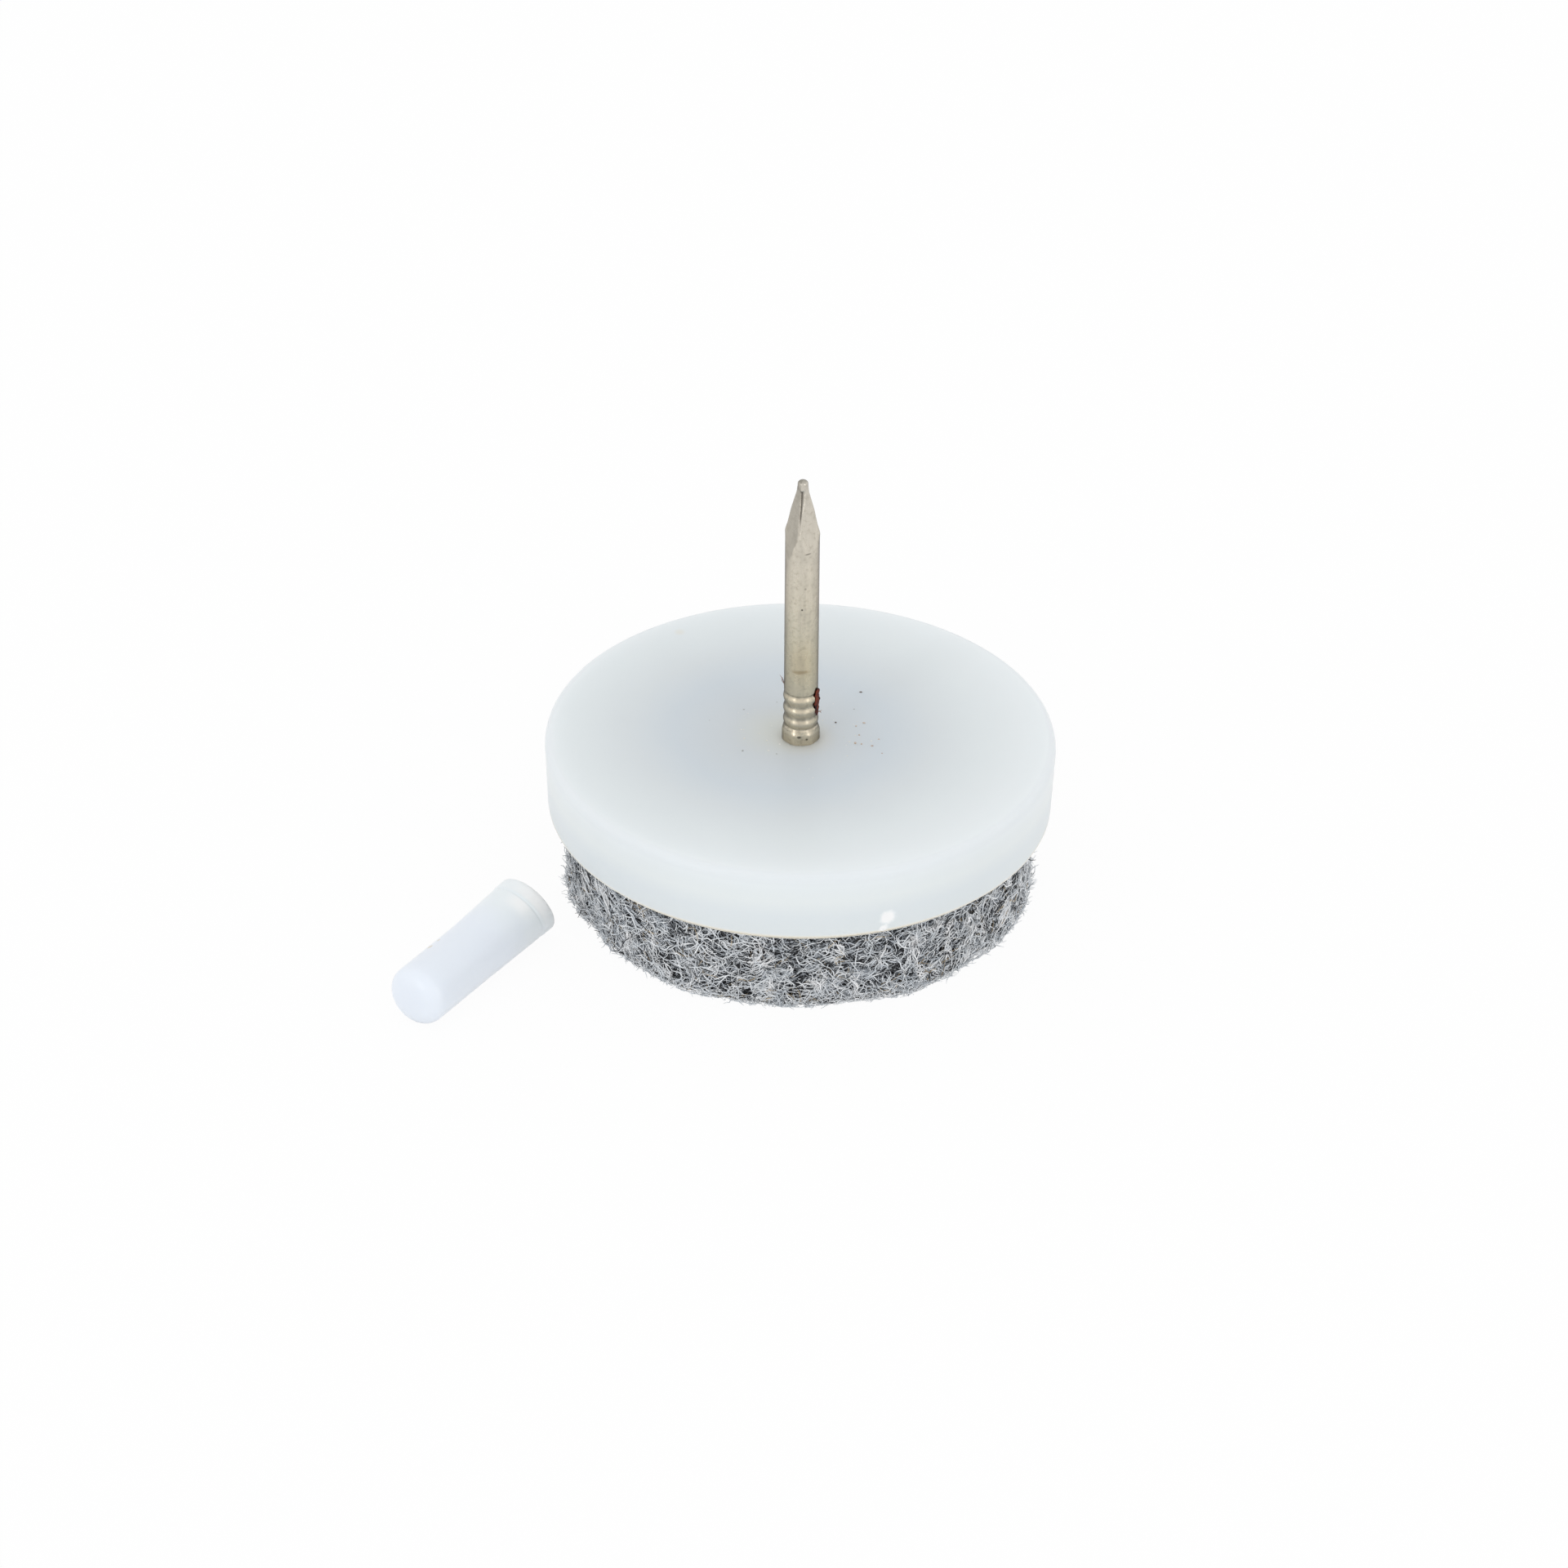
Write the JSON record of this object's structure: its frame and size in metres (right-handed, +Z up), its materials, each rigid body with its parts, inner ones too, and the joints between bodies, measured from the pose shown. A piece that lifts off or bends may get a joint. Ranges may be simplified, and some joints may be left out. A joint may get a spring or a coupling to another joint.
{
  "type": "nail-on furniture glide",
  "caption": "Round felt furniture glide: a translucent plastic plate on a felt pad, with a ringed nail for the leg and the cap that guards the nail's point.",
  "frame": {"origin": "centre of the felt's underside, on the floor", "axes": "+Z up along the nail to its point, +X to the right and +Y away from the picture's viewer; the taken-off guard lies towards -X and -Y"},
  "size_m": [0.0305, 0.0257, 0.0217],
  "materials": {
    "felt": "pressed felt of white, grey and charcoal fibres",
    "plate_plastic": "translucent white, satin moulded",
    "nail_steel": "nickel plated wire, lightly stained",
    "guard_plastic": "soft translucent white"
  },
  "bodies": {
    "root": {"felt_pad": "felt", "glide_plate": "plate_plastic", "nail": "nail_steel", "nail_guard": "guard_plastic"}
  },
  "joints": []
}
